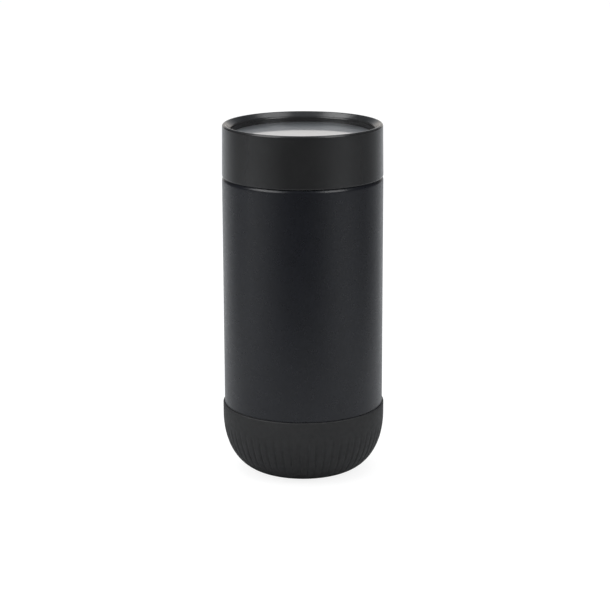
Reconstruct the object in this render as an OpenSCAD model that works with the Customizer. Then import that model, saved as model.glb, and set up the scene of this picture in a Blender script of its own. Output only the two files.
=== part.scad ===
// Insulated press-top travel tumbler: a double-wall steel flask with a screw lid, a sunken press
// disc that opens and shuts a drink-from-any-side valve, and a ribbed soft boot.
// Millimetres, +Z up, origin on the axis at the centre of the foot.

/* [Overall] */
// Height from the foot to the drinking lip
total_h = 177.4; // [174:0.2:190]
// Outside diameter of the steel body
body_d = 80.2; // [79:0.2:84]
// Wall thickness of the steel shells
steel_t = 0.6; // [0.5:0.1:0.7]

/* [Lid] */
// Height of the lid collar
collar_h = 26.1; // [25.9:0.1:27.4]
// How far the collar stands proud of the body
collar_proud = 0; // [0:0.1:0.5]
// How much narrower the collar's radius is at the lip than at its rim
collar_draft = 0.3; // [0:0.1:0.5]
// Depth of the press disc below the lip
bowl_depth = 4.9; // [4.5:0.1:5.5]
// Radius of the rounded drinking lip
lip_r = 1.1; // [0.9:0.1:1.2]
// Width of the shadow gap between the collar and the shoulder
seam_gap = 0.1; // [0.1:0.05:0.8]

/* [Valve] */
// Full travel of the press disc
press_travel = 4; // [3.6:0.1:4]
// How far the latched disc rises back from full travel
latch_back = 1; // [0.8:0.1:1.2]
// Number of flow holes in the valve deck
flow_holes = 10; // [6:1:10]
// Diameter of a flow hole
flow_hole_d = 11; // [8:0.5:12]
// Wire diameter of the return spring
spring_wire_d = 0.9; // [0.7:0.1:1]
// Turns of the return spring
spring_turns = 7; // [5:1:8]

/* [Thread] */
// Rise of the lid for one full turn
thread_lead = 8; // [7:0.5:8.5]
// Length of each of the two thread starts, in turns
thread_turns = 0.75; // [0.5:0.05:0.75]

/* [Boot] */
// Height of the boot
boot_h = 35; // [32:0.5:40]
// How far the boot stands proud of the body
boot_proud = 0.8; // [0.3:0.1:1.2]
// Radius of the flat foot
foot_r = 19.4; // [18:0.2:24]
// Number of ribs round the boot
rib_count = 60; // [36:4:72]
// Depth of the grooves between the ribs
rib_depth = 0.45; // [0.2:0.05:0.6]

/* [Hidden] */
$fn = 96;

body_r = body_d / 2;
cut = 1;                                    // how far a cutting tool runs past what it cuts

// Levels of the lid, from the lip down
disc_z = total_h - bowl_depth;              // top face of the press disc
seat_z = disc_z - 1.6;                      // underside of the lip, which the valve seals against
deck_top_z = seat_z - 7.5;
deck_z = deck_top_z - 1.8;
mouth_z = deck_z - 1.1;                     // top of the vessel's mouth, under the gasket
collar_z = total_h - collar_h;

// Steel body
shoulder_r = 2.8;                           // rounding of the shoulder
shoulder_lap_deg = 45;                      // turn of that rounding where the collar's rim covers it
shoulder_z = collar_z - seam_gap + shoulder_r * (1 - sin(shoulder_lap_deg));
neck_r = body_r - 3.4;
step_r = body_r - 1.9;                      // outside of the wall inside the boot
weld_z = boot_h - 5.1;                      // where the shell meets the pressed base
flange_z = mouth_z - steel_t;
vessel_r = body_r - 5.2;                    // inside of the drinking vessel
vessel_z = 11;                              // underside of the vessel's floor
vessel_corner_r = 14;
gasket_r = neck_r + 1;
base_z = 3;                                 // underside of the pressed base
base_flat_r = foot_r - 0.8;
port_r = 1.5;
port_dimple_r = 4.5;
port_dimple_h = 0.8;
getter_x = 12;
getter_r = 4;
getter_h = 1.5;
copper_t = 0.2;

// Belly: exponent of the superellipse that rounds the bottom
belly_n = 2.19;
belly_steps = 24;

// Boot
boot_r = body_r + boot_proud;
recess_r = foot_r - 3.4;
recess_h = 0.8;
rib_gap_deg = 0.4 * 360 / rib_count;
rib_start = 0.07;                           // where the grooves run along the belly, 0 to 1
rib_end = 0.64;
rib_skew = 0.75;                            // under 1, the grooves are deepest nearer their top

// Thread: trapezium ridges on the neck and inside the collar, in mesh half a pitch apart
ridge_half_root = 0.7;
ridge_half_crest = 0.35;
ridge_sink = 0.2;                           // how deep a ridge is rooted in its wall
neck_crest_r = neck_r + 1.4;
collar_wall_r = body_r - 1.4;               // inside of the collar below the deck
collar_crest_r = neck_r + 0.4;
thread_z = mouth_z - 1.5 - thread_lead * thread_turns;
thread_step_deg = 7.5;
thread_taper_deg = 30;

// Lid collar
collar_r = body_r + collar_proud;
chamber_r = body_r - 2;                     // round the valve, above the deck
seat_r = body_r - 4.7;                      // bore of the lip
cone_deg = 130;                             // turn of the lip's rounding where it runs into the bowl's cone
bore_edge_r = 2;                            // rounding where the cone drops into the bore
snap_r = chamber_r;                         // snap bead that holds the deck up
snap_z = deck_z - 0.7;

// Valve deck and hub
deck_r = collar_wall_r - 0.1;
hub_r = 10.5;
hub_bore_r = 8.6;
hub_top_z = deck_top_z + 0.6;
pocket_z = hub_top_z - 6;                   // floor of the spring pocket
shelf_z = pocket_z - 1.8;
hub_z = shelf_z - 12.4;
hub_cap_t = 2;
hub_plug_h = 2.2;
hub_plug_t = 1.2;
flow_ring_r = 24;
deck_rib_t = 1.4;
deck_rib_h = 3;
deck_rib_r = vessel_r - 2;                  // outer end of the ribs, inside the gasket

// Valve carrier and what it carries
carrier_clear = 0.4;                        // left over at full travel
disc_t = 0.45;
disc_edge_r = 0.6;
adhesive_t = 0.15;
adhesive_inset = 1;
disc_r = seat_r - 0.25;
plate_top_z = disc_z - disc_t - adhesive_t;
plate_z = plate_top_z - 1.5;
ledge_z = seat_z + 0.05;                    // shoulder that the disc's turned edge rests on
skirt_z = deck_top_z + press_travel + carrier_clear;
skirt_t = 1.75;
flange_t = 1.4;
flange_r = body_r - 3.1;
seal_z = skirt_z + flange_t;
seal_r = body_r - 3;
seal_round = 0.4;
carrier_ribs = 8;
carrier_rib_t = 1.2;
carrier_rib_z = hub_top_z + press_travel + carrier_clear;
carrier_rib_r = 8.4;                        // inner end of the ribs, clear of the spring
boss_r = 6.2;
boss_h = 4;

// Stem, cam and latch
stem_r = 4.5;
stem_clear = 0.1;
stem_z = shelf_z - 0.3;
spigot_r = 2.4;
spigot_h = 0.8;
cam_w = 9;
cam_h = 7.5;
cam_face_y = -2.6;                          // front of the cam, and the stem's front flat
cam_back_y = 3.8;                           // back of the cam, and the stem's back flat
cam_z = stem_z - cam_h;
screw_y = 0.9;
screw_r = 1.25;
screw_head_r = 2.1;
screw_head_h = 1.6;
screw_sink = 1.8;
screw_bite = 6;                             // length of the screw inside the stem
socket_r = 1;
socket_h = 0.9;
arm_l = 5.1;                                // latch wire, from its pivot to its tip
latch_wire_r = 0.35;
pin_clear = 0.05;
latch_y = cam_face_y - 0.6;                 // plane in which the arm swings
latch_swing_deg = 17.1;
latch_pin_y = hub_r - 0.6;                  // outer end of the pivot, short of the hub's surface
groove_low = 1.5;
groove_x = arm_l * sin(latch_swing_deg);
groove_high = groove_low + press_travel + arm_l * (1 - cos(latch_swing_deg));
groove_latch = groove_low + press_travel - latch_back;
groove_r = 0.45;
groove_depth = 1;
latch_z = cam_z + groove_low + arm_l;
lug_w = 2.4;
lug_front_y = -4.2;
lug_h = 2.3;

// Return spring
spring_r = 7.2;
spring_sides = 8;
spring_steps = 20;                          // rings in one turn

// Points on an arc of radius r about (cx, cz), from angle a0 to a1
function arc(cx, cz, r, a0, a1, n = 8) = [
    for (i = [0:n])
        let (a = a0 + (a1 - a0) * i / n)
        [cx + r * cos(a), cz + r * sin(a)]
];

// Point on the rounded belly: t runs from the side wall at high to the flat bottom at low
function belly(t, flat_r, side_r, low, high) = [
    flat_r + (side_r - flat_r) * pow(cos(90 * t), 2 / belly_n),
    high - (high - low) * pow(sin(90 * t), 2 / belly_n)
];
function belly_points(flat_r, side_r, low, high) =
    [for (i = [0:belly_steps]) belly(i / belly_steps, flat_r, side_r, low, high)];
function reversed(points) = [for (i = [len(points) - 1:-1:0]) points[i]];

// The boot's outer belly, and its outward normal
function boot_point(t) = belly(t, foot_r, boot_r, 0, weld_z);
function boot_normal(t) =
    let (d = boot_point(t + 0.01) - boot_point(t - 0.01))
    [-d[1], d[0]] / norm(d);

// Triangles that skin a row of rings with n points each, and close both ends. Each ring runs
// counterclockwise in (radius, height), and the row of rings runs counterclockwise round the axis.
function tube_faces(rings, n) = concat(
    [
        for (i = [0:rings - 2], j = [0:n - 1])
            let (a = i * n + j, b = i * n + (j + 1) % n)
            each [[b, b + n, a], [b + n, a + n, a]]
    ],
    [[for (j = [n - 1:-1:0]) j], [for (j = [0:n - 1]) (rings - 1) * n + j]]
);

// One thread start: a helical ridge from root radius r0 to crest radius r1, tapered at its ends
module thread_ridge(r0, r1) {
    turn = 360 * thread_turns;
    count = round(turn / thread_step_deg);
    points = [
        for (i = [0:count])
            let (
                a = turn * i / count,
                z = thread_z + thread_lead * a / 360,
                grow = min(1, (thread_step_deg + min(a, turn - a)) / thread_taper_deg),
                r = r0 + (r1 - r0) * grow,
                side = sign(r1 - r0)
            )
            each [
                for (p = [
                    [r0, -ridge_half_root], [r, -ridge_half_crest],
                    [r, ridge_half_crest], [r0, ridge_half_root]
                ])
                    [p[0] * cos(a), p[0] * sin(a), z + side * p[1]]
            ]
    ];
    polyhedron(points, tube_faces(count + 1, 4), convexity = 6);
}

module thread(r0, r1, first_deg)
    for (start = [0, 180])
        rotate(first_deg + start) thread_ridge(r0, r1);

// The stem's section: a circle with a flat front and back, grown by clear all round
module stem_section(clear = 0)
    intersection() {
        circle(stem_r + clear);
        translate([-stem_r - cut, cam_face_y - clear])
            square([2 * (stem_r + cut), cam_back_y - cam_face_y + 2 * clear]);
    }

// One groove between two ribs of the boot, which fades out at both ends
module rib_groove() {
    steps = 8;
    along = [for (i = [0:steps]) rib_start + (rib_end - rib_start) * i / steps];
    bottom = [
        for (i = [0:steps])
            boot_point(along[i]) - boot_normal(along[i]) * rib_depth * sin(180 * pow(i / steps, rib_skew))
    ];
    clear = [for (t = along) boot_point(t) + boot_normal(t) * cut];
    rotate_extrude(angle = rib_gap_deg) polygon(concat(bottom, reversed(clear)));
}

module rubber_boot() {
    round_r = 0.5;
    color("#2b2b2c") difference() {
        rotate_extrude() polygon(concat(
            [[step_r, boot_h]],
            arc(boot_r - round_r, boot_h - round_r, round_r, 90, 0, 4),
            belly_points(foot_r, boot_r, 0, weld_z),
            [[recess_r, 0], [recess_r - recess_h, recess_h], [0, recess_h], [0, base_z]],
            reversed(belly_points(base_flat_r, step_r, base_z, weld_z))
        ));
        for (i = [0:rib_count - 1])
            rotate(i * 360 / rib_count) rib_groove();
    }
}

module outer_shell() {
    corner_r = 0.8;
    inner_corner_r = corner_r - steel_t;
    side_r = body_r - corner_r;
    top_r = body_r - shoulder_r;
    color("#1d1e20") union() {
        rotate_extrude() polygon(concat(
            [[step_r, weld_z], [step_r, boot_h]],
            arc(side_r, boot_h + corner_r, corner_r, -90, 0, 4),
            arc(top_r, shoulder_z - shoulder_r, shoulder_r, 0, 90),
            [[neck_r, shoulder_z], [neck_r, flange_z]],
            [[neck_r - steel_t, flange_z], [neck_r - steel_t, shoulder_z - steel_t]],
            arc(top_r, shoulder_z - shoulder_r, shoulder_r - steel_t, 90, 0),
            arc(side_r, boot_h + corner_r, inner_corner_r, 0, -90, 4),
            [[step_r - steel_t, boot_h + steel_t], [step_r - steel_t, weld_z]]
        ));
        thread(neck_r - ridge_sink, neck_crest_r, 0);
    }
}

module shell_base()
    color("#b9bbbd") difference() {
        rotate_extrude() polygon(concat(
            reversed(belly_points(base_flat_r, step_r, base_z, weld_z)),
            belly_points(base_flat_r - steel_t / 3, step_r - steel_t, base_z + steel_t, weld_z),
            [
                [port_dimple_r + steel_t, base_z + steel_t],
                [port_dimple_r + steel_t, base_z + port_dimple_h + steel_t],
                [0, base_z + port_dimple_h + steel_t],
                [0, base_z + port_dimple_h],
                [port_dimple_r, base_z + port_dimple_h],
                [port_dimple_r, base_z]
            ]
        ));
        translate([0, 0, base_z]) cylinder(r = port_r, h = port_dimple_h + steel_t + cut);
    }

module vacuum_seal_disc()
    color("#8d9296") translate([0, 0, base_z]) cylinder(r = port_dimple_r, h = port_dimple_h);

module getter()
    color("#6f7275") translate([getter_x, 0, base_z + steel_t]) cylinder(r = getter_r, h = getter_h);

module inner_vessel() {
    edge_r = 0.3;
    corner_x = vessel_r + steel_t - vessel_corner_r;
    corner_z = vessel_z + vessel_corner_r;
    inside_r = vessel_corner_r - steel_t;
    color("#c9cccf") rotate_extrude() polygon(concat(
        [[0, vessel_z]],
        arc(corner_x, corner_z, vessel_corner_r, -90, 0, 16),
        [[vessel_r + steel_t, flange_z], [neck_r, flange_z], [neck_r, mouth_z]],
        arc(vessel_r + edge_r, mouth_z - edge_r, edge_r, 90, 180, 4),
        arc(corner_x, corner_z, inside_r, 0, -90, 16),
        [[0, vessel_z + steel_t]]
    ));
}

module copper_wrap() {
    inside_r = vessel_r + steel_t;
    low = vessel_z + vessel_corner_r + 1;
    high = shoulder_z - 3;
    color("#b8703f") translate([0, 0, low]) difference() {
        cylinder(r = inside_r + copper_t, h = high - low);
        translate([0, 0, -cut]) cylinder(r = inside_r, h = high - low + 2 * cut);
    }
}

module vessel_gasket() {
    lip_in_r = vessel_r - 0.7;
    lip_out_r = vessel_r - 0.1;
    lip_h = 1.6;
    color("#dfe1e0") rotate_extrude() polygon([
        [lip_in_r, mouth_z - lip_h], [lip_out_r, mouth_z - lip_h], [lip_out_r, mouth_z],
        [gasket_r, mouth_z], [gasket_r, deck_z], [lip_in_r, deck_z]
    ]);
}

module lid_collar() {
    edge_r = 0.75;
    rim_chamfer = 0.6;
    lip_x = collar_r - collar_draft - lip_r;
    lip_z = total_h - lip_r;
    cone_run = lip_x + lip_r * cos(cone_deg) - seat_r - bore_edge_r * (1 + cos(cone_deg));
    bore_edge_z = lip_z + (lip_r - bore_edge_r) * sin(cone_deg) + cone_run / tan(cone_deg);
    snap_h = 0.6;
    color("#232324") union() {
        rotate_extrude() polygon(concat(
            [[collar_wall_r, collar_z + rim_chamfer], [collar_wall_r + rim_chamfer, collar_z]],
            arc(collar_r - edge_r, collar_z + edge_r, edge_r, -90, 0, 4),
            arc(lip_x, lip_z, lip_r, 0, cone_deg, 16),
            arc(seat_r + bore_edge_r, bore_edge_z, bore_edge_r, cone_deg, 180),
            [
                [seat_r, seat_z], [chamber_r, seat_z], [chamber_r, deck_top_z],
                [collar_wall_r, deck_top_z], [collar_wall_r, snap_z + snap_h],
                [snap_r, snap_z + snap_h / 2], [collar_wall_r, snap_z]
            ]
        ));
        thread(collar_wall_r + ridge_sink, collar_crest_r, 90);
    }
}

module valve_deck()
    color("#2a2b2d") difference() {
        union() {
            rotate_extrude() polygon([
                [0, shelf_z], [hub_bore_r, shelf_z], [hub_bore_r, hub_z], [hub_r, hub_z],
                [hub_r, deck_z], [deck_r, deck_z], [deck_r, deck_top_z], [hub_r, deck_top_z],
                [hub_r, hub_top_z], [hub_bore_r, hub_top_z], [hub_bore_r, pocket_z],
                [0, pocket_z]
            ]);
            // lug that carries the latch wire's pivot
            translate([-lug_w / 2, -hub_bore_r - cut, shelf_z - lug_h])
                cube([lug_w, hub_bore_r + cut + lug_front_y, lug_h + cut]);
            // stiffening ribs under the plate, between the flow holes
            for (i = [0:flow_holes - 1])
                rotate((i + 0.5) * 360 / flow_holes)
                    translate([hub_r - cut, -deck_rib_t / 2, deck_z - deck_rib_h])
                        cube([deck_rib_r - hub_r + cut, deck_rib_t, deck_rib_h + cut]);
        }
        for (i = [0:flow_holes - 1])
            rotate(i * 360 / flow_holes) translate([flow_ring_r, 0, deck_z - cut])
                cylinder(d = flow_hole_d, h = deck_top_z - deck_z + 2 * cut);
        translate([0, 0, shelf_z - cut]) linear_extrude(pocket_z - shelf_z + 2 * cut)
            stem_section(stem_clear);
        translate([0, lug_front_y + cut, latch_z]) rotate([90, 0, 0])
            cylinder(r = latch_wire_r + pin_clear, h = latch_pin_y + pin_clear + lug_front_y + cut);
    }

module hub_cap() {
    low = hub_z - hub_cap_t;
    chamfer = 0.8;
    plug_in_r = hub_bore_r - hub_plug_t;
    color("#2a2b2d") rotate_extrude() polygon([
        [0, low], [hub_r - chamfer, low], [hub_r, low + chamfer], [hub_r, hub_z],
        [hub_bore_r, hub_z], [hub_bore_r, hub_z + hub_plug_h],
        [plug_in_r, hub_z + hub_plug_h], [plug_in_r, hub_z], [0, hub_z]
    ]);
}

// Compression spring with one closed turn at each end
module return_spring() {
    wire_r = spring_wire_d / 2;
    low = pocket_z + wire_r;
    rise = plate_z - pocket_z - spring_wire_d;
    closed = 1.1 * spring_wire_d;
    count = spring_turns * spring_steps;
    function height(turn) =
        turn < 1 ? closed * turn
        : turn > spring_turns - 1 ? rise - closed * (spring_turns - turn)
        : closed + (rise - 2 * closed) * (turn - 1) / (spring_turns - 2);
    points = [
        for (i = [0:count])
            let (a = 360 * i / spring_steps, z = low + height(i / spring_steps))
            each [
                for (j = [0:spring_sides - 1])
                    let (b = 360 * j / spring_sides, r = spring_r + wire_r * cos(b))
                    [r * cos(a), r * sin(a), z + wire_r * sin(b)]
            ]
    ];
    color("#c4c7ca") polyhedron(points, tube_faces(count + 1, spring_sides), convexity = 10);
}

// Bent wire: pivot pin, swinging arm and the tip that runs in the heart-shaped groove
module latch_wire() {
    tip_y = cam_face_y + groove_depth - 0.1;
    color("#b4b7ba") union() {
        translate([0, latch_y, latch_z]) {
            rotate([90, 0, 0]) cylinder(r = latch_wire_r, h = latch_pin_y + latch_y);
            sphere(r = latch_wire_r);
        }
        translate([0, latch_y, latch_z - arm_l]) {
            cylinder(r = latch_wire_r, h = arm_l);
            sphere(r = latch_wire_r);
            rotate([-90, 0, 0]) cylinder(r = latch_wire_r, h = tip_y - latch_y);
        }
    }
}

module valve_carrier() {
    in_r = disc_r - skirt_t;
    plate_r = disc_r - disc_t;
    root = 0.5;                             // how deep the ribs are rooted in the plate and skirt
    color("#2a2b2d") difference() {
        union() {
            rotate_extrude() polygon([
                [0, plate_z - boss_h], [boss_r, plate_z - boss_h], [boss_r, plate_z],
                [in_r, plate_z], [in_r, skirt_z], [flange_r, skirt_z], [flange_r, seal_z],
                [disc_r, seal_z], [disc_r, ledge_z], [plate_r, ledge_z], [plate_r, plate_top_z],
                [0, plate_top_z]
            ]);
            for (i = [0:carrier_ribs - 1])
                rotate(i * 360 / carrier_ribs)
                    translate([carrier_rib_r, -carrier_rib_t / 2, carrier_rib_z])
                        cube([
                            in_r - carrier_rib_r + root, carrier_rib_t,
                            plate_z - carrier_rib_z + root
                        ]);
        }
        // socket for the stem and its spigot
        translate([0, 0, plate_z - boss_h - cut]) linear_extrude(boss_h + cut) stem_section();
        translate([0, 0, plate_z - cut]) cylinder(r = spigot_r, h = spigot_h + cut);
    }
}

module valve_stem()
    color("#d8dad9") difference() {
        union() {
            translate([0, 0, stem_z]) linear_extrude(plate_z - stem_z) stem_section();
            translate([0, 0, plate_z - cut]) cylinder(r = spigot_r, h = spigot_h + cut);
        }
        translate([0, screw_y, stem_z - cut]) cylinder(r = screw_r, h = screw_bite + cut);
    }

// One straight run of the groove between two points on the cam's face
module groove_run(a, b) {
    d = b - a;
    translate(a) circle(groove_r);
    translate(b) circle(groove_r);
    translate(a) rotate(atan2(d[1], d[0])) translate([0, -groove_r])
        square([norm(d), 2 * groove_r]);
}

// Cam block: the groove goes up the left, back into the latching notch, and down the right
module heart_cam() {
    path = [
        [0, groove_low], [-groove_x, groove_high], [0, groove_latch], [groove_x, groove_high]
    ];
    color("#e4e4df") difference() {
        translate([-cam_w / 2, cam_face_y, cam_z]) cube([cam_w, cam_back_y - cam_face_y, cam_h]);
        translate([0, cam_face_y + groove_depth, cam_z]) rotate([90, 0, 0])
            linear_extrude(groove_depth + cut)
                for (i = [0:3]) groove_run(path[i], path[(i + 1) % 4]);
        translate([0, screw_y, cam_z - cut]) {
            cylinder(r = screw_r, h = cam_h + 2 * cut);
            cylinder(r = screw_head_r + 0.1, h = screw_sink + cut);
        }
    }
}

module cam_screw()
    color("#aeb1b4") translate([0, screw_y, cam_z + screw_sink]) difference() {
        union() {
            translate([0, 0, -screw_head_h]) cylinder(r = screw_head_r, h = screw_head_h);
            cylinder(r = screw_r, h = cam_h - screw_sink + screw_bite);
        }
        // hexagon socket
        translate([0, 0, -screw_head_h - cut]) cylinder(r = socket_r, h = socket_h + cut, $fn = 6);
    }

module valve_seal()
    color("#dfe1e0") rotate_extrude() polygon(concat(
        [[disc_r, seal_z], [seal_r, seal_z]],
        arc(seal_r - seal_round, seat_z - seal_round, seal_round, 0, 90, 4),
        [[disc_r, seat_z]]
    ));

module disc_adhesive()
    color("#f0efe9") translate([0, 0, plate_top_z]) cylinder(r = disc_r - adhesive_inset, h = adhesive_t);

// Pressed steel disc with a turned-down edge that caps the carrier
module top_disc() {
    edge_x = disc_r - disc_edge_r;
    edge_z = disc_z - disc_edge_r;
    color("#b9bec2") rotate_extrude() polygon(concat(
        [[0, disc_z]],
        arc(edge_x, edge_z, disc_edge_r, 90, 0, 6),
        [[disc_r, ledge_z], [disc_r - disc_t, ledge_z]],
        arc(edge_x, edge_z, disc_edge_r - disc_t, 0, 90, 3),
        [[0, disc_z - disc_t]]
    ));
}

rubber_boot();
outer_shell();
shell_base();
vacuum_seal_disc();
getter();
inner_vessel();
copper_wrap();
vessel_gasket();
lid_collar();
valve_deck();
hub_cap();
return_spring();
latch_wire();
valve_carrier();
valve_stem();
heart_cam();
cam_screw();
valve_seal();
disc_adhesive();
top_disc();
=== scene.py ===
"""Looks for an insulated press-top travel tumbler: powder-coated flask, moulded screw lid with a sunken
steel press disc, drink-from-any-side valve and ribbed silicone boot."""

import math

import bmesh
import bpy
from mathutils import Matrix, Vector


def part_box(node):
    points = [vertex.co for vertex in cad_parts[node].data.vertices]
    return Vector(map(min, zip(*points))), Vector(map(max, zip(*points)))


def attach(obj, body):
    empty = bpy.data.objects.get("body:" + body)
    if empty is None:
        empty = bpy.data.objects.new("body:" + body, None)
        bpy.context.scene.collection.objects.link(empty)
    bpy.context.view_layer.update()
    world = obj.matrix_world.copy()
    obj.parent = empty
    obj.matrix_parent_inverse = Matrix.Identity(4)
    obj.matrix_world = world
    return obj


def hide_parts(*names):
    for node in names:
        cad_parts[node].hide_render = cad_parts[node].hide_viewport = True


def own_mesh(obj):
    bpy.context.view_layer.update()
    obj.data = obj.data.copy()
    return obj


MM = 0.001
SEGMENTS = 256
SMOOTH_ANGLE = math.radians(38)

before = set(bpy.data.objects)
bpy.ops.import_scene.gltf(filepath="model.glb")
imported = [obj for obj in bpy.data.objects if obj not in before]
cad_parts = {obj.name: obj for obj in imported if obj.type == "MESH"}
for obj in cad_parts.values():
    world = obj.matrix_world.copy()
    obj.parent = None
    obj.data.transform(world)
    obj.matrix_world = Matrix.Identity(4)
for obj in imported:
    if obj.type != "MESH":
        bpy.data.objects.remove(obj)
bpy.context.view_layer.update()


# Sizes in millimetres and angles in degrees. The driving dimensions come from the frame, and the rest
# follow the CAD's own rules.

def top(node):
    return round(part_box(node)[1].z / MM, 1)


def bottom(node):
    return round(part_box(node)[0].z / MM, 1)


def radius(node):
    return round(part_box(node)[1].y / MM, 1)


body_r = radius("outer_shell")
boot_r = radius("rubber_boot")
boot_h = top("rubber_boot")
collar_r = radius("lid_collar")
collar_z = bottom("lid_collar")
total_h = top("lid_collar")
disc_z = top("top_disc")
mouth_z = top("inner_vessel")
weld_z = bottom("outer_shell")
spring_low = bottom("return_spring")
spring_high = top("return_spring")

steel_t = 0.6
seat_z = disc_z - 1.6
deck_top_z = seat_z - 7.5
deck_z = deck_top_z - 1.8
flange_z = mouth_z - steel_t

seam_gap = 0.1
shoulder_r = 2.8
shoulder_lap = 45
shoulder_z = collar_z - seam_gap + shoulder_r * (1 - math.sin(math.radians(shoulder_lap)))
neck_r = body_r - 3.4
step_r = body_r - 1.9               # outside of the steel inside the boot
vessel_r = body_r - 5.2
vessel_z = 11
vessel_corner_r = 14
base_z = 3

collar_draft = 0.3
rim_chamfer = 0.6
lip_r = 1.1
cone_turn = 130                     # where the lip's rounding meets the cone, from level outwards
bore_edge_r = 2
collar_wall_r = body_r - 1.4
chamber_r = body_r - 2
seat_r = body_r - 4.7               # the bore that the disc sits in
disc_r = body_r - 4.95

thread_lead = 8
thread_span = 270
thread_z = mouth_z - 1.5 - thread_lead * thread_span / 360
thread_taper = 30                   # over which the thread runs in and out
ridge_half_root = 0.7
ridge_half_crest = 0.3
neck_crest = 1.4
collar_crest = 1.6

belly_n = 2.19                      # 2 is an ellipse, and more is squarer
foot_r = 19.4
recess_r = foot_r - 3.4
recess_h = 0.8
base_flat_r = foot_r - 0.8
rib_count = 60
rib_depth = 0.45
rib_start = 0.07                    # shares of the belly's curve
rib_end = 0.64
rib_skew = 0.75                     # under 1, the flutes are deepest nearer their top
rib_gap = 0.46                      # share of the spacing that a flute takes

spring_r = 7.2
spring_wire_r = 0.45
spring_turns = 7

latch_y = -3.2                      # plane in which the arm swings
latch_z = 155.0
latch_arm = 5.1
latch_wire_r = 0.35
latch_pin_y = 9.9
latch_tip_y = -1.7


# Outlines

def arc(cx, cz, r, start, end, steps=8):
    """Points on an arc of radius r about (cx, cz), from start to end degrees."""
    angles = [math.radians(start + (end - start) * i / steps) for i in range(steps + 1)]
    return [(cx + r * math.cos(a), cz + r * math.sin(a)) for a in angles]


def line(start, end, steps):
    """Points from start up to end, with end left out."""
    shares = [i / steps for i in range(steps)]
    return [(start[0] + (end[0] - start[0]) * s, start[1] + (end[1] - start[1]) * s) for s in shares]


def smoothstep(x):
    x = min(1, max(0, x))
    return x * x * (3 - 2 * x)


def belly(t, flat_r, side_r, low, high):
    """A point on the rounded bottom: t goes from 0 at the side wall to 1 at the flat foot."""
    a = math.radians(90 * t)
    r = flat_r + (side_r - flat_r) * max(0, math.cos(a)) ** (2 / belly_n)
    return r, high - (high - low) * math.sin(a) ** (2 / belly_n)


# Mesh builders

def add_object(name, verts, faces):
    """A new smooth object in the scene, from points in millimetres."""
    mesh = bpy.data.meshes.new(name)
    mesh.from_pydata([Vector(v) * MM for v in verts], [], faces)
    bm = bmesh.new()
    bm.from_mesh(mesh)
    bmesh.ops.recalc_face_normals(bm, faces=bm.faces)
    bm.to_mesh(mesh)
    bm.free()
    mesh.shade_smooth()
    mesh.set_sharp_from_angle(angle=SMOOTH_ANGLE)
    obj = bpy.data.objects.new(name, mesh)
    bpy.context.scene.collection.objects.link(obj)
    return obj


def lathe(name, outline, closed=True, segments=SEGMENTS, place=None):
    """Turns an outline of (radius, height) points round Z. A closed outline makes a ring, and an open one
    starts and ends on the axis. place(i, angle, r, z) can move each point i of the outline."""
    verts = []
    rings = []
    for i, (r, z) in enumerate(outline):
        if r < 1e-6:
            rings.append([len(verts)])
            verts.append((0, 0, z))
            continue
        rings.append(list(range(len(verts), len(verts) + segments)))
        for s in range(segments):
            angle = 2 * math.pi * s / segments
            pr, pz = place(i, angle, r, z) if place else (r, z)
            verts.append((pr * math.cos(angle), pr * math.sin(angle), pz))
    faces = []
    pairs = zip(rings, rings[1:] + rings[:1]) if closed else zip(rings, rings[1:])
    for a, b in pairs:
        for s in range(segments):
            n = (s + 1) % segments
            if len(a) == 1:
                faces.append((a[0], b[n], b[s]))
            elif len(b) == 1:
                faces.append((a[s], a[n], b[0]))
            else:
                faces.append((a[s], a[n], b[n], b[s]))
    return add_object(name, verts, faces)


def lathe_split(name, outline, pole, segments, place):
    """A lathe whose outline reaches the axis at points pole and pole + 1, with open space between them."""
    turned = outline[pole + 1:] + outline[:pole + 1]
    shift = len(outline) - pole - 1

    def moved(i, angle, r, z):
        return place((i - shift) % len(outline), angle, r, z)

    return lathe(name, turned, closed=False, segments=segments, place=moved)


def tube(name, path, r, sides=14, low=None, high=None):
    """A wire of radius r along a path, with flat ends. low and high grind its two ends flat."""
    points = [Vector(p) for p in path]
    verts = []
    side = Vector((0.3, 1, 0.2))
    for i, p in enumerate(points):
        ahead = (points[min(i + 1, len(points) - 1)] - points[max(i - 1, 0)]).normalized()
        side = (side - ahead * side.dot(ahead)).normalized()
        up = ahead.cross(side)
        for s in range(sides):
            a = 2 * math.pi * s / sides
            v = p + (side * math.cos(a) + up * math.sin(a)) * r
            if low is not None:
                v.z = min(high, max(low, v.z))
            verts.append(v)
    faces = [tuple(range(sides)), tuple(range(len(verts) - sides, len(verts)))]
    for i in range(len(points) - 1):
        for s in range(sides):
            n = (s + 1) % sides
            faces.append((i * sides + s, i * sides + n, (i + 1) * sides + n, (i + 1) * sides + s))
    return add_object(name, verts, faces)


def bend(corner, start, end, r, steps=6):
    """Points of a rounded corner of radius r between two directions at right angles."""
    c, a, b = Vector(corner), Vector(start), Vector(end)
    centre = c + a * r + b * r
    angles = [math.pi / 2 * i / steps for i in range(steps + 1)]
    return [centre - b * r * math.cos(t) - a * r * math.sin(t) for t in angles]


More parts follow.
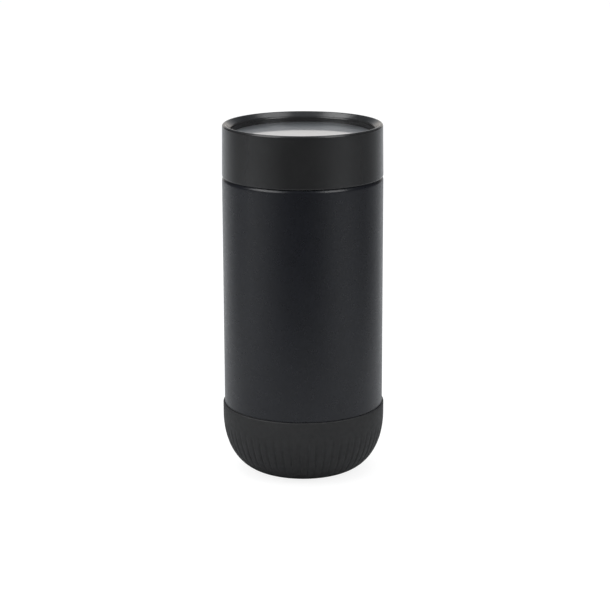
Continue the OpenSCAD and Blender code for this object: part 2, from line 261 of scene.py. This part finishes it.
def softened(name, node, width=0.15):
    """A copy of a CAD node's mesh with its sharp edges rounded, as moulding or machining leaves them."""
    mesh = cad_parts[node].data.copy()
    mesh.name = name
    bm = bmesh.new()
    bm.from_mesh(mesh)
    bmesh.ops.remove_doubles(bm, verts=bm.verts, dist=0.002 * MM)
    bmesh.ops.dissolve_limit(bm, angle_limit=math.radians(0.6), verts=bm.verts, edges=bm.edges)
    bm.to_mesh(mesh)
    bm.free()
    if "custom_normal" in mesh.attributes:
        mesh.attributes.remove(mesh.attributes["custom_normal"])
    mesh.materials.clear()
    mesh.shade_smooth()
    obj = bpy.data.objects.new(name, mesh)
    bpy.context.scene.collection.objects.link(obj)
    bevel = obj.modifiers.new("rounded edges", "BEVEL")
    bevel.width = width * MM
    bevel.segments = 2
    bevel.limit_method = "ANGLE"
    bevel.angle_limit = math.radians(40)
    bevel.use_clamp_overlap = True
    bevel.harden_normals = False
    depsgraph = bpy.context.evaluated_depsgraph_get()
    obj.data = bpy.data.meshes.new_from_object(obj.evaluated_get(depsgraph))
    obj.data.name = name
    obj.modifiers.clear()
    obj.data.set_sharp_from_angle(angle=math.radians(30))
    return obj


# Materials

class Nodes:
    """A node tree, with short ways to add to it."""

    def __init__(self, tree):
        self.tree = tree

    def node(self, kind, **settings):
        made = self.tree.nodes.new(kind)
        for key, value in settings.items():
            setattr(made, key, value)
        return made

    def link(self, source, target):
        self.tree.links.new(source, target)

    def math(self, operation, a, b=0.0):
        made = self.node("ShaderNodeMath", operation=operation)
        for socket, value in zip(made.inputs, (a, b)):
            if isinstance(value, (int, float)):
                socket.default_value = value
            else:
                self.link(value, socket)
        return made.outputs[0]

    def apart(self, vector):
        """The x, y and z of a vector."""
        made = self.node("ShaderNodeSeparateXYZ")
        self.link(vector, made.inputs[0])
        return made.outputs["X"], made.outputs["Y"], made.outputs["Z"]

    def spread(self, factor, low, high, start=0.3, end=0.7):
        """A number that goes from low to high as factor goes from start to end."""
        made = self.node("ShaderNodeMapRange", interpolation_type="SMOOTHSTEP")
        made.inputs["From Min"].default_value = start
        made.inputs["From Max"].default_value = end
        made.inputs["To Min"].default_value = low
        made.inputs["To Max"].default_value = high
        self.link(factor, made.inputs["Value"])
        return made.outputs["Result"]

    def ramp(self, factor, *stops):
        """A colour from a ramp of (place, (r, g, b)) stops."""
        made = self.node("ShaderNodeValToRGB")
        elements = made.color_ramp.elements
        while len(elements) < len(stops):
            elements.new(0.5)
        for element, (place, rgb) in zip(elements, stops):
            element.position = place
            element.color = (*rgb, 1)
        self.link(factor, made.inputs["Fac"])
        return made.outputs["Color"]

    def blend(self, factor, low, high, kind="RGBA"):
        """A colour or number that goes from low to high as factor goes from 0 to 1."""
        made = self.node("ShaderNodeMix", data_type=kind)
        self.link(factor, made.inputs[0])
        first = 6 if kind == "RGBA" else 2
        for socket, value in zip(made.inputs[first:first + 2], (low, high)):
            if isinstance(value, tuple):
                socket.default_value = (*value, 1)
            else:
                self.link(value, socket)
        return made.outputs[2 if kind == "RGBA" else 0]


class Surface(Nodes):
    """A node material around one Principled shader. Every texture is read in the piece's own space."""

    def __init__(self, name, metallic=0.0):
        self.material = bpy.data.materials.new(name)
        self.material.use_nodes = True
        super().__init__(self.material.node_tree)
        self.shader = self.tree.nodes["Principled BSDF"]
        self.shader.inputs["Metallic"].default_value = metallic
        self.coords = self.node("ShaderNodeTexCoord").outputs["Object"]
        self.normal = None

    def noise(self, size, detail=3.0, stretch=(1, 1, 1), roughness=0.5):
        """Noise whose features are about size millimetres, 0 to 1. stretch makes them longer on an axis."""
        place = self.node("ShaderNodeMapping")
        place.inputs["Scale"].default_value = [1 / s for s in stretch]
        self.link(self.coords, place.inputs["Vector"])
        made = self.node("ShaderNodeTexNoise")
        made.inputs["Scale"].default_value = 1 / (size * MM)
        made.inputs["Detail"].default_value = detail
        made.inputs["Roughness"].default_value = roughness
        self.link(place.outputs["Vector"], made.inputs["Vector"])
        return made.outputs["Fac"]

    def radius(self):
        """Distance from the object's axis, in metres."""
        x, y = self.apart(self.coords)[:2]
        return self.math("SQRT", self.math("ADD", self.math("MULTIPLY", x, x), self.math("MULTIPLY", y, y)))

    def height(self):
        """Height in metres."""
        return self.apart(self.coords)[2]

    def turned(self, along, size):
        """Fine rings left by turning or spinning: noise of one coordinate only, 0 to 1."""
        made = self.node("ShaderNodeTexNoise", noise_dimensions="1D")
        made.inputs["Scale"].default_value = 1 / (size * MM)
        made.inputs["Detail"].default_value = 4.0
        self.link(along, made.inputs["W"])
        return made.outputs["Fac"]

    def colour(self, factor, *stops):
        self.link(self.ramp(factor, *stops), self.shader.inputs["Base Color"])

    def rough(self, factor, low, high):
        self.link(self.spread(factor, low, high), self.shader.inputs["Roughness"])

    def bump(self, factor, depth):
        """Relief of depth millimetres. A second call adds to the first."""
        made = self.node("ShaderNodeBump")
        made.inputs["Strength"].default_value = 1.0
        made.inputs["Distance"].default_value = depth * MM
        self.link(factor, made.inputs["Height"])
        if self.normal:
            self.link(self.normal, made.inputs["Normal"])
        self.normal = made.outputs["Normal"]
        self.link(self.normal, self.shader.inputs["Normal"])

    def coat(self, weight, roughness):
        self.shader.inputs["Coat Weight"].default_value = weight
        self.shader.inputs["Coat Roughness"].default_value = roughness
        self.shader.inputs["Coat IOR"].default_value = 1.5


def grey(value, red=1.0, blue=1.0):
    """A grey, warmed or cooled by the share of red and blue in it."""
    return value * red, value, value * blue


def powder_coat():
    """Matte black baked powder: fine orange-peel texture with a faint blue cast."""
    s = Surface("powder_coat")
    s.colour(s.noise(9, 4), (0.3, grey(0.0070, 0.90, 1.42)), (0.7, grey(0.0086, 0.90, 1.44)))
    s.rough(s.noise(3, 3), 0.27, 0.31)
    s.bump(s.noise(0.45, 2), 0.010)
    s.bump(s.noise(0.14, 1), 0.004)
    return s.material


def collar_plastic():
    """Moulded black polypropylene with a fine spark-eroded grain."""
    s = Surface("collar_plastic")
    s.colour(s.noise(12, 3), (0.3, grey(0.0162, 1.0, 1.02)), (0.7, grey(0.0192, 1.0, 1.02)))
    s.rough(s.noise(2.5, 3), 0.20, 0.25)
    s.bump(s.noise(0.3, 2), 0.006)
    s.shader.inputs["Specular IOR Level"].default_value = 0.49
    return s.material


def boot_silicone():
    """Soft black silicone: dry, slightly dusty, with a mould-blasted surface."""
    s = Surface("boot_silicone")
    s.colour(s.noise(7, 4, roughness=0.6), (0.3, grey(0.0172, 1.0, 1.03)), (0.7, grey(0.0218, 1.0, 1.03)))
    s.rough(s.noise(2, 3), 0.55, 0.65)
    s.bump(s.noise(0.35, 2), 0.012)
    s.shader.inputs["Specular IOR Level"].default_value = 0.46
    return s.material


def disc_steel():
    """Pressed stainless disc, finely spun and clear lacquered."""
    s = Surface("disc_steel", metallic=1.0)
    s.colour(s.noise(6, 4), (0.3, grey(0.73, 0.985, 1.02)), (0.7, grey(0.77, 0.985, 1.02)))
    s.rough(s.turned(s.radius(), 0.12), 0.30, 0.42)
    s.bump(s.turned(s.radius(), 0.09), 0.0012)
    s.coat(1.0, 0.06)
    return s.material


def turned_steel(name, value, size):
    """Stainless steel with the fine rings of spinning and polishing."""
    s = Surface(name, metallic=1.0)
    rings = s.turned(s.height(), size)
    s.colour(rings, (0.3, grey(value, 1.0, 0.99)), (0.7, grey(value + 0.07, 1.0, 0.99)))
    s.rough(s.noise(5, 3, stretch=(1, 1, 0.2)), 0.22, 0.34)
    s.bump(rings, 0.002)
    return s.material


def copper_foil():
    """Copper radiation foil, slightly wrinkled and dulled."""
    s = Surface("copper_foil", metallic=1.0)
    s.colour(s.noise(8, 4), (0.3, (0.62, 0.27, 0.13)), (0.7, (0.78, 0.40, 0.22)))
    s.rough(s.noise(4, 3), 0.25, 0.42)
    s.bump(s.noise(5, 3), 0.05)
    return s.material


def seal_silicone():
    """Translucent white food-grade silicone."""
    s = Surface("seal_silicone")
    s.colour(s.noise(4, 3), (0.3, (0.66, 0.67, 0.66)), (0.7, (0.74, 0.75, 0.74)))
    s.rough(s.noise(1.5, 3), 0.42, 0.55)
    s.bump(s.noise(0.4, 2), 0.006)
    s.shader.inputs["Subsurface Weight"].default_value = 0.25
    s.shader.inputs["Subsurface Radius"].default_value = (0.002, 0.002, 0.002)
    s.shader.inputs["Subsurface Scale"].default_value = 0.5
    return s.material


def moulded_plastic(name, low, high, roughness):
    """Moulded plastic with flow marks and a fine tool grain."""
    s = Surface(name)
    s.colour(s.noise(6, 4, stretch=(1, 1, 2)), (0.3, low), (0.7, high))
    s.rough(s.noise(2, 3), roughness - 0.04, roughness + 0.05)
    s.bump(s.noise(0.4, 2), 0.005)
    return s.material


def drawn_wire(name, value):
    """Drawn steel wire with fine lengthwise marks."""
    s = Surface(name, metallic=1.0)
    s.colour(s.noise(1.5, 4), (0.3, grey(value)), (0.7, grey(value + 0.10)))
    s.rough(s.noise(0.5, 3, stretch=(3, 3, 1)), 0.20, 0.36)
    s.bump(s.noise(0.15, 2, stretch=(4, 4, 1)), 0.003)
    return s.material


def machined_metal(name, value, blue=1.0):
    """Small machined or sintered metal part with a mottled, lightly worn surface."""
    s = Surface(name, metallic=1.0)
    s.colour(s.noise(1.2, 5), (0.3, grey(value, 1.0, blue)), (0.7, grey(value + 0.12, 1.0, blue)))
    s.rough(s.noise(0.8, 4), 0.28, 0.48)
    s.bump(s.noise(0.25, 3), 0.008)
    return s.material


def adhesive():
    """White double-sided bonding film."""
    s = Surface("adhesive")
    s.colour(s.noise(3, 3), (0.3, (0.70, 0.69, 0.64)), (0.7, (0.80, 0.79, 0.75)))
    s.rough(s.noise(1.5, 3), 0.5, 0.7)
    s.bump(s.noise(1.0, 3), 0.01)
    return s.material


BLACK_LOW, BLACK_HIGH = grey(0.018, 0.98, 1.04), grey(0.024, 0.98, 1.04)
MATERIALS = {
    "boot_silicone": boot_silicone(),
    "powder_coat": powder_coat(),
    "bare_steel": turned_steel("bare_steel", 0.50, 0.35),
    "seal_metal": machined_metal("seal_metal", 0.34, 1.04),
    "getter_alloy": machined_metal("getter_alloy", 0.20),
    "vessel_steel": turned_steel("vessel_steel", 0.55, 0.25),
    "copper_foil": copper_foil(),
    "seal_silicone": seal_silicone(),
    "collar_plastic": collar_plastic(),
    "deck_plastic": moulded_plastic("deck_plastic", BLACK_LOW, BLACK_HIGH, 0.44),
    "spring_steel": drawn_wire("spring_steel", 0.52),
    "acetal": moulded_plastic("acetal", (0.72, 0.73, 0.71), (0.79, 0.80, 0.78), 0.38),
    "screw_steel": machined_metal("screw_steel", 0.46),
    "adhesive": adhesive(),
    "disc_steel": disc_steel(),
}


# Pieces

def wear(obj, slot, body, *nodes):
    """Gives a new piece its finish, the body it rides on and the CAD nodes it stands for."""
    obj.data.materials.clear()
    obj.data.materials.append(MATERIALS[slot])
    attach(obj, body)
    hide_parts(*nodes)
    return obj


def boot_skin():
    """The ribbed boot: soft flutes pressed into its rounded belly, and a shallow recess under the foot."""
    round_r = 0.5
    belly_steps = 90
    inner_steps = 40
    outline = [(step_r, boot_h)] + arc(boot_r - round_r, boot_h - round_r, round_r, 90, 0, 5)
    first = len(outline)
    outline += [belly(i / belly_steps, foot_r, boot_r, 0, weld_z) for i in range(belly_steps + 1)]
    last = len(outline) - 1
    outline += [(recess_r, 0), (recess_r - recess_h, recess_h), (0, recess_h), (0, base_z)]
    inner = [belly(1 - i / inner_steps, base_flat_r, step_r, base_z, weld_z) for i in range(inner_steps + 1)]
    outline += inner

    def flute(i, angle, r, z):
        if not first < i < last:
            return r, z
        t = (i - first) / belly_steps
        share = (t - rib_start) / (rib_end - rib_start)
        if not 0 < share < 1:
            return r, z
        phase = angle * rib_count / (2 * math.pi) % 1
        across = smoothstep(1 - abs(phase - 0.5) / (rib_gap / 2))
        depth = rib_depth * math.sin(math.pi * share ** rib_skew) * across
        (r0, z0), (r1, z1) = outline[i - 1], outline[i + 1]
        run = math.hypot(r1 - r0, z1 - z0)
        return r + depth * (z1 - z0) / run, z - depth * (r1 - r0) / run

    ring = outline.index((0, recess_h))
    return lathe_split("boot_skin", outline, ring, rib_count * 12, flute)


def ridge(angle, z, first):
    """Height of the two-start thread at a point, from 0 at the root to 1 at the crest."""
    best = 0
    for start in (0, 180):
        a = (math.degrees(angle) - first - start) % 360
        if a > thread_span:
            continue
        apart = abs(z - thread_z - thread_lead * a / 360)
        flank = smoothstep((ridge_half_root - apart) / (ridge_half_root - ridge_half_crest))
        best = max(best, flank * smoothstep(min(a, thread_span - a) / thread_taper))
    return best


def flask_shell():
    """The powder-coated outer wall, with a soft shoulder and a rolled two-start thread on the neck."""
    corner_r = 0.8
    edge_r = 0.4
    plain_low = boot_h + 1.2
    plain_high = shoulder_z - shoulder_r - 0.4
    side_r = body_r - corner_r
    top_r = body_r - shoulder_r
    neck_in_r = neck_r - steel_t
    outline = line((step_r, weld_z), (step_r, boot_h), 4) + [(step_r, boot_h)]
    outline += arc(body_r - edge_r, boot_h + edge_r, edge_r, -90, 0, 8)
    outline += line((body_r, plain_low), (body_r, plain_high), 24)
    outline += arc(top_r, shoulder_z - shoulder_r, shoulder_r, 0, 90, 16)
    outline += line((neck_r, shoulder_z), (neck_r, flange_z), 88) + [(neck_r, flange_z)]
    outline += [(neck_in_r, flange_z), (neck_in_r, shoulder_z - steel_t)]
    outline += arc(top_r, shoulder_z - shoulder_r, shoulder_r - steel_t, 90, 0, 8)
    outline += arc(side_r, boot_h + corner_r, corner_r - steel_t, 0, -90, 4)
    outline += [(step_r - steel_t, boot_h + steel_t), (step_r - steel_t, weld_z)]

    def thread(i, angle, r, z):
        if abs(r - neck_r) > 1e-6 or not shoulder_z < z < flange_z:
            return r, z
        return r + neck_crest * ridge(angle, z, 0), z

    return lathe("flask_shell", outline, segments=320, place=thread)


def drinking_collar():
    """The lid's collar: a rounded lip all round, a flared bowl inside it and the thread below the deck."""
    edge_r = 0.75
    edge_gap = 0.2
    seat_edge = 0.15
    snap_z = deck_z - 0.7
    snap_h = 0.6
    snap_bead_r = 0.67
    lip_x = collar_r - collar_draft - lip_r
    lip_z = total_h - lip_r
    cone = math.radians(cone_turn)
    run = lip_x + lip_r * math.cos(cone) - seat_r - bore_edge_r * (1 + math.cos(cone))
    bore_edge_z = lip_z + (lip_r - bore_edge_r) * math.sin(cone) + run / math.tan(cone)
    outline = arc(collar_r - edge_r, collar_z + edge_r, edge_r, -90, 0, 8)
    outline += line((collar_r, collar_z + edge_r + edge_gap), (lip_x + lip_r, lip_z - edge_gap), 10)
    outline += arc(lip_x, lip_z, lip_r, 0, cone_turn, 20)
    outline += arc(seat_r + bore_edge_r, bore_edge_z, bore_edge_r, cone_turn, 180, 10)
    outline += [(seat_r, seat_z + seat_edge), (seat_r + seat_edge, seat_z)]
    outline += [(chamber_r, seat_z), (chamber_r, deck_top_z)]
    outline += [(collar_wall_r, deck_top_z), (collar_wall_r, snap_z + snap_h)]
    outline += arc(collar_wall_r + snap_h, snap_z + snap_h / 2, snap_bead_r, 153, 207, 6)
    outline += line((collar_wall_r, snap_z), (collar_wall_r, collar_z + rim_chamfer + 0.1), 88)
    outline += [(collar_wall_r, collar_z + rim_chamfer), (collar_wall_r + rim_chamfer, collar_z)]

    def thread(i, angle, r, z):
        if abs(r - collar_wall_r) > 1e-6 or not collar_z + rim_chamfer < z < snap_z - 0.05:
            return r, z
        return r - collar_crest * ridge(angle, z, 90), z

    return lathe("drinking_collar", outline, segments=320, place=thread)


def press_disc():
    """The steel disc that is pressed: a turned-down edge, and a top that is very slightly dished."""
    edge_r = 0.6
    sheet_t = 0.45
    dish = 0.06
    steps = 24
    ledge_z = seat_z + 0.05
    edge_x, edge_z = disc_r - edge_r, disc_z - edge_r
    outline = [(edge_x * i / steps, disc_z - dish * (1 - (i / steps) ** 2)) for i in range(steps)]
    outline += arc(edge_x, edge_z, edge_r, 90, 0, 10) + [(disc_r, ledge_z), (disc_r - sheet_t, ledge_z)]
    outline += arc(edge_x, edge_z, edge_r - sheet_t, 0, 90, 4) + [(0, disc_z - sheet_t)]
    return lathe("press_disc", outline, closed=False)


def drinking_vessel():
    """The inner vessel: deep-drawn, with a weld bead where it meets the neck and a polished mouth."""
    edge_r = 0.3
    bead = 0.12
    bead_z = mouth_z - 2.6
    bead_half = 0.4
    corner_x = vessel_r + steel_t - vessel_corner_r
    corner_z = vessel_z + vessel_corner_r
    outline = [(0, vessel_z)] + arc(corner_x, corner_z, vessel_corner_r, -90, 0, 24)
    outline += [(vessel_r + steel_t, flange_z), (neck_r, flange_z)]
    outline += arc(neck_r - edge_r, mouth_z - edge_r, edge_r, 0, 90, 5)
    outline += arc(vessel_r + edge_r, mouth_z - edge_r, edge_r, 90, 180, 6)
    outline += [(vessel_r, bead_z + bead_half), (vessel_r + bead, bead_z), (vessel_r, bead_z - bead_half)]
    outline += arc(corner_x, corner_z, vessel_corner_r - steel_t, 0, -90, 24) + [(0, vessel_z + steel_t)]
    return lathe("drinking_vessel", outline, closed=False)


def mouth_gasket():
    """The gasket under the deck: grooves leave narrow sealing beads on the mouth, and a lip locates it."""
    lip_in_r, lip_out_r = vessel_r - 0.7, vessel_r - 0.1
    lip_low = mouth_z - 1.6
    lip_round = 0.15
    outer_r = neck_r + 1
    outer_round = 0.2
    groove_r = vessel_r + 0.3
    groove_w = 1.4
    groove_h = 0.16
    steps = 24
    outline = [(lip_in_r + lip_round, lip_low), (lip_out_r - lip_round, lip_low)]
    outline += arc(lip_out_r - lip_round, lip_low + lip_round, lip_round, -90, 0, 4)
    outline += [(lip_out_r, mouth_z)]
    for i in range(steps + 1):
        lift = groove_h * abs(math.sin(2 * math.pi * i / steps))
        outline.append((groove_r + groove_w * i / steps, mouth_z + lift))
    outline += arc(outer_r - outer_round, mouth_z + outer_round, outer_round, -90, 0, 4)
    outline += arc(outer_r - outer_round, deck_z - outer_round, outer_round, 0, 90, 4)
    outline += [(lip_in_r, deck_z), (lip_in_r, lip_low + lip_round)]
    return lathe("mouth_gasket", outline)


def valve_gasket():
    """The ring that the spring holds against the underside of the lip: a soft rounded wiper."""
    low = seat_z - 1.7
    low_round = 0.2
    high_round = 0.4
    groove_h = 0.16
    outer_r = body_r - 3
    outline = [(disc_r, low), (outer_r - low_round, low)]
    outline += arc(outer_r - low_round, low + low_round, low_round, -90, 0, 4)
    outline += arc(outer_r - high_round, seat_z - high_round, high_round, 0, 90, 8)
    outline += [(disc_r + 0.75, seat_z - 0.02), (disc_r + 0.55, seat_z - groove_h)]
    outline += [(disc_r + 0.3, seat_z - groove_h)]
    outline += [(disc_r + 0.12, seat_z), (disc_r, seat_z)]
    return lathe("valve_gasket", outline)


def press_spring():
    """The return spring, of round wire, with a closed and ground turn at each end."""
    steps = 28
    ground = 0.8 * spring_wire_r
    closed = 2.2 * spring_wire_r
    low = spring_low + ground
    rise = spring_high - spring_low - 2 * ground
    path = []
    for i in range(spring_turns * steps + 1):
        turn = i / steps
        if turn < 1:
            z = closed * turn
        elif turn > spring_turns - 1:
            z = rise - closed * (spring_turns - turn)
        else:
            z = closed + (rise - 2 * closed) * (turn - 1) / (spring_turns - 2)
        angle = 2 * math.pi * turn
        path.append((spring_r * math.cos(angle), spring_r * math.sin(angle), low + z))
    return tube("press_spring", path, spring_wire_r, low=spring_low, high=spring_high)


def cam_follower():
    """The latch wire: a pivot in the hub's lug, an arm that swings and a tip in the cam's groove."""
    bend_r = 0.7
    high = (0, latch_y, latch_z)
    low = (0, latch_y, latch_z - latch_arm)
    path = [(0, -latch_pin_y, latch_z)]
    path += bend(high, (0, -1, 0), (0, 0, -1), bend_r)
    path += bend(low, (0, 0, 1), (0, 1, 0), bend_r)
    path += [(0, latch_tip_y, latch_z - latch_arm)]
    return tube("cam_follower", path, latch_wire_r)


wear(boot_skin(), "boot_silicone", "vessel", "rubber_boot")
wear(flask_shell(), "powder_coat", "vessel", "outer_shell")
wear(drinking_vessel(), "vessel_steel", "vessel", "inner_vessel")
wear(mouth_gasket(), "seal_silicone", "gasket", "vessel_gasket")
wear(drinking_collar(), "collar_plastic", "lid", "lid_collar")
wear(press_disc(), "disc_steel", "valve", "top_disc")
wear(valve_gasket(), "seal_silicone", "valve", "valve_seal")
wear(cam_follower(), "spring_steel", "latch", "latch_wire")
spring = wear(press_spring(), "spring_steel", "lid", "return_spring")
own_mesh(spring)

wear(softened("flow_deck", "valve_deck"), "deck_plastic", "lid", "valve_deck")
wear(softened("hub_plug", "hub_cap"), "deck_plastic", "lid", "hub_cap")
wear(softened("press_carrier", "valve_carrier"), "deck_plastic", "valve", "valve_carrier")
wear(softened("press_stem", "valve_stem"), "acetal", "valve", "valve_stem")
wear(softened("cam_block", "heart_cam", width=0.12), "acetal", "valve", "heart_cam")
wear(softened("socket_screw", "cam_screw", width=0.1), "screw_steel", "valve", "cam_screw")

KEPT = {
    "shell_base": "bare_steel",
    "vacuum_seal_disc": "seal_metal",
    "getter": "getter_alloy",
    "copper_wrap": "copper_foil",
    "disc_adhesive": "adhesive",
}
for node, slot in KEPT.items():
    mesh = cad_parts[node].data
    mesh.materials.clear()
    mesh.materials.append(MATERIALS[slot])


# Studio, in metres

FLOOR_SIZE = 30.0
BOUNCE_DROP = 0.0005
BOUNCE_NEAR = 0.16
BOUNCE_FAR = 0.45
LIGHT_DISTANCE = 1.2


def flat_square(name, size, z, material):
    """A stage square, centred under the object."""
    h = size / 2
    mesh = bpy.data.meshes.new(name)
    mesh.from_pydata([(-h, -h, z), (h, -h, z), (h, h, z), (-h, h, z)], [], [(0, 1, 2, 3)])
    mesh.materials.append(material)
    obj = bpy.data.objects.new(name, mesh)
    bpy.context.scene.collection.objects.link(obj)
    return obj


def light_table():
    """The pale floor that the camera sees: lit from below and above, so that shadows stay faint."""
    s = Surface("light_table")
    s.colour(s.noise(400, 2), (0.3, grey(0.20)), (0.7, grey(0.21)))
    s.rough(s.noise(300, 2), 0.9, 0.95)
    s.shader.inputs["Specular IOR Level"].default_value = 0.1
    s.shader.inputs["Emission Color"].default_value = (1, 1, 1, 1)
    s.shader.inputs["Emission Strength"].default_value = 0.86
    table = flat_square("light_table", FLOOR_SIZE, 0, s.material)
    table.visible_glossy = False
    table.visible_diffuse = False
    return table


def bounce_floor():
    """The floor as reflections see it, with painted reflections: white near the object. Further off it is
    painted dark in front, grey at the sides with brighter patches, and white behind, partly whiter than any
    paint so that it acts as painted light. A stop is (degrees from the front towards +X, how white)."""
    s = Surface("bounce_floor")
    x, y = s.apart(s.coords)[:2]
    turn = s.math("ARCTAN2", x, s.math("MULTIPLY", y, -1))
    azimuth = s.math("ADD", s.math("MULTIPLY", turn, 0.5 / math.pi), 0.5)
    # Painted reflections: each stop sets how bright the object's reflection is in that direction, and values
    # above 1 are painted light.
    stops = [
        (-180, 1.2), (-150, 1.2), (-137, 1.08), (-124, 0.88), (-109, 0.56), (-96, 0.62), (-78, 0.94),
        (-62, 0.82), (-48, 0.60), (-25, 0.23), (-10, 0.17), (10, 0.18), (25, 0.34), (48, 0.76),
        (60, 0.82), (73, 0.68), (90, 0.43), (104, 0.41), (124, 0.64), (137, 0.93), (150, 1.15), (180, 1.15)
    ]
    far = s.ramp(azimuth, *[(0.5 + degrees / 360, grey(value)) for degrees, value in stops])
    distance = s.spread(s.radius(), 0, 1, BOUNCE_NEAR, BOUNCE_FAR)
    s.link(s.blend(distance, grey(0.88), far), s.shader.inputs["Base Color"])
    s.rough(s.noise(300, 2), 0.9, 0.95)
    s.shader.inputs["Specular IOR Level"].default_value = 0
    bounce = flat_square("bounce_floor", FLOOR_SIZE, -BOUNCE_DROP, s.material)
    bounce.visible_camera = False
    return bounce


def softbox(name, azimuth, elevation, size, radiance):
    """A flat light, width by height in size, that faces the object's shoulder. azimuth is in degrees from
    the front, towards +X, and radiance is how bright its face looks."""
    light = bpy.data.lights.new(name, "AREA")
    light.shape = "RECTANGLE"
    light.size, light.size_y = size
    light.energy = radiance * math.pi * size[0] * size[1]
    obj = bpy.data.objects.new(name, light)
    bpy.context.scene.collection.objects.link(obj)
    aim = Vector((0, 0, shoulder_z * MM))
    a, e = math.radians(azimuth), math.radians(elevation)
    direction = Vector((math.sin(a) * math.cos(e), -math.cos(a) * math.cos(e), math.sin(e)))
    obj.location = aim + direction * LIGHT_DISTANCE
    obj.rotation_euler = (aim - obj.location).to_track_quat("-Z", "Y").to_euler()
    return obj


def overhead_wash():
    """Broad light from straight above that whitens the floor and gives the soft contact shadow."""
    light = bpy.data.lights.new("overhead_wash", "SUN")
    light.energy = 1.6
    light.angle = math.radians(100)
    obj = bpy.data.objects.new("overhead_wash", light)
    bpy.context.scene.collection.objects.link(obj)
    obj.visible_glossy = False
    return obj


def studio_world():
    """Walls of a pale studio: a warm bright panel low behind the object, dim at the sides and in front,
    and cool and dim overhead. The camera sees an even pale wall."""
    world = bpy.data.worlds.new("studio")
    bpy.context.scene.world = world
    world.use_nodes = True
    world.node_tree.nodes.clear()
    n = Nodes(world.node_tree)
    x, y, z = n.apart(n.node("ShaderNodeTexCoord").outputs["Generated"])
    middle = n.spread(n.math("ABSOLUTE", x), 1, 0, 0.3, 0.6)
    panel = n.math("MULTIPLY", middle, n.spread(y, 0, 1, 0.2, 0.7))
    walls = n.spread(panel, 0.09, 1.04, 0, 1)
    overhead = n.spread(z, 0.08, 0.34, 0.6, 1)
    lift = n.spread(z, 0, 1, 0.08, 0.6)
    lit = n.node("ShaderNodeBackground")
    n.link(n.blend(lift, (1.0, 0.95, 0.90), (0.80, 0.92, 1.05)), lit.inputs["Color"])
    n.link(n.blend(lift, walls, overhead, kind="FLOAT"), lit.inputs["Strength"])
    seen = n.node("ShaderNodeBackground")
    seen.inputs["Color"].default_value = (0.97, 0.97, 0.97, 1)
    mix = n.node("ShaderNodeMixShader")
    n.link(n.node("ShaderNodeLightPath").outputs["Is Camera Ray"], mix.inputs[0])
    n.link(lit.outputs[0], mix.inputs[1])
    n.link(seen.outputs[0], mix.inputs[2])
    n.link(mix.outputs[0], n.node("ShaderNodeOutputWorld").inputs["Surface"])


def camera():
    """A long lens about a metre away, a little above the object and looking slightly down."""
    data = bpy.data.cameras.new("camera")
    data.sensor_width = 36
    data.lens = 116.1
    obj = bpy.data.objects.new("camera", data)
    obj.location = (0.00095, -0.9627, 0.3328)
    obj.rotation_mode = "ZYX"
    obj.rotation_euler = (math.radians(75.55), 0, math.radians(-0.17))
    bpy.context.scene.collection.objects.link(obj)
    bpy.context.scene.camera = obj


light_table()
bounce_floor()
softbox("key_left", -59, 33, (0.86, 0.56), 4.3)
softbox("key_right", 49, 33, (0.62, 0.56), 4.0)
softbox("bank_left", -106, 64, (0.80, 0.42), 3.6)
softbox("bank_right", 100, 69, (0.80, 0.42), 2.6)
overhead_wash()
studio_world()
camera()
bpy.context.scene.view_settings.view_transform = "Standard"
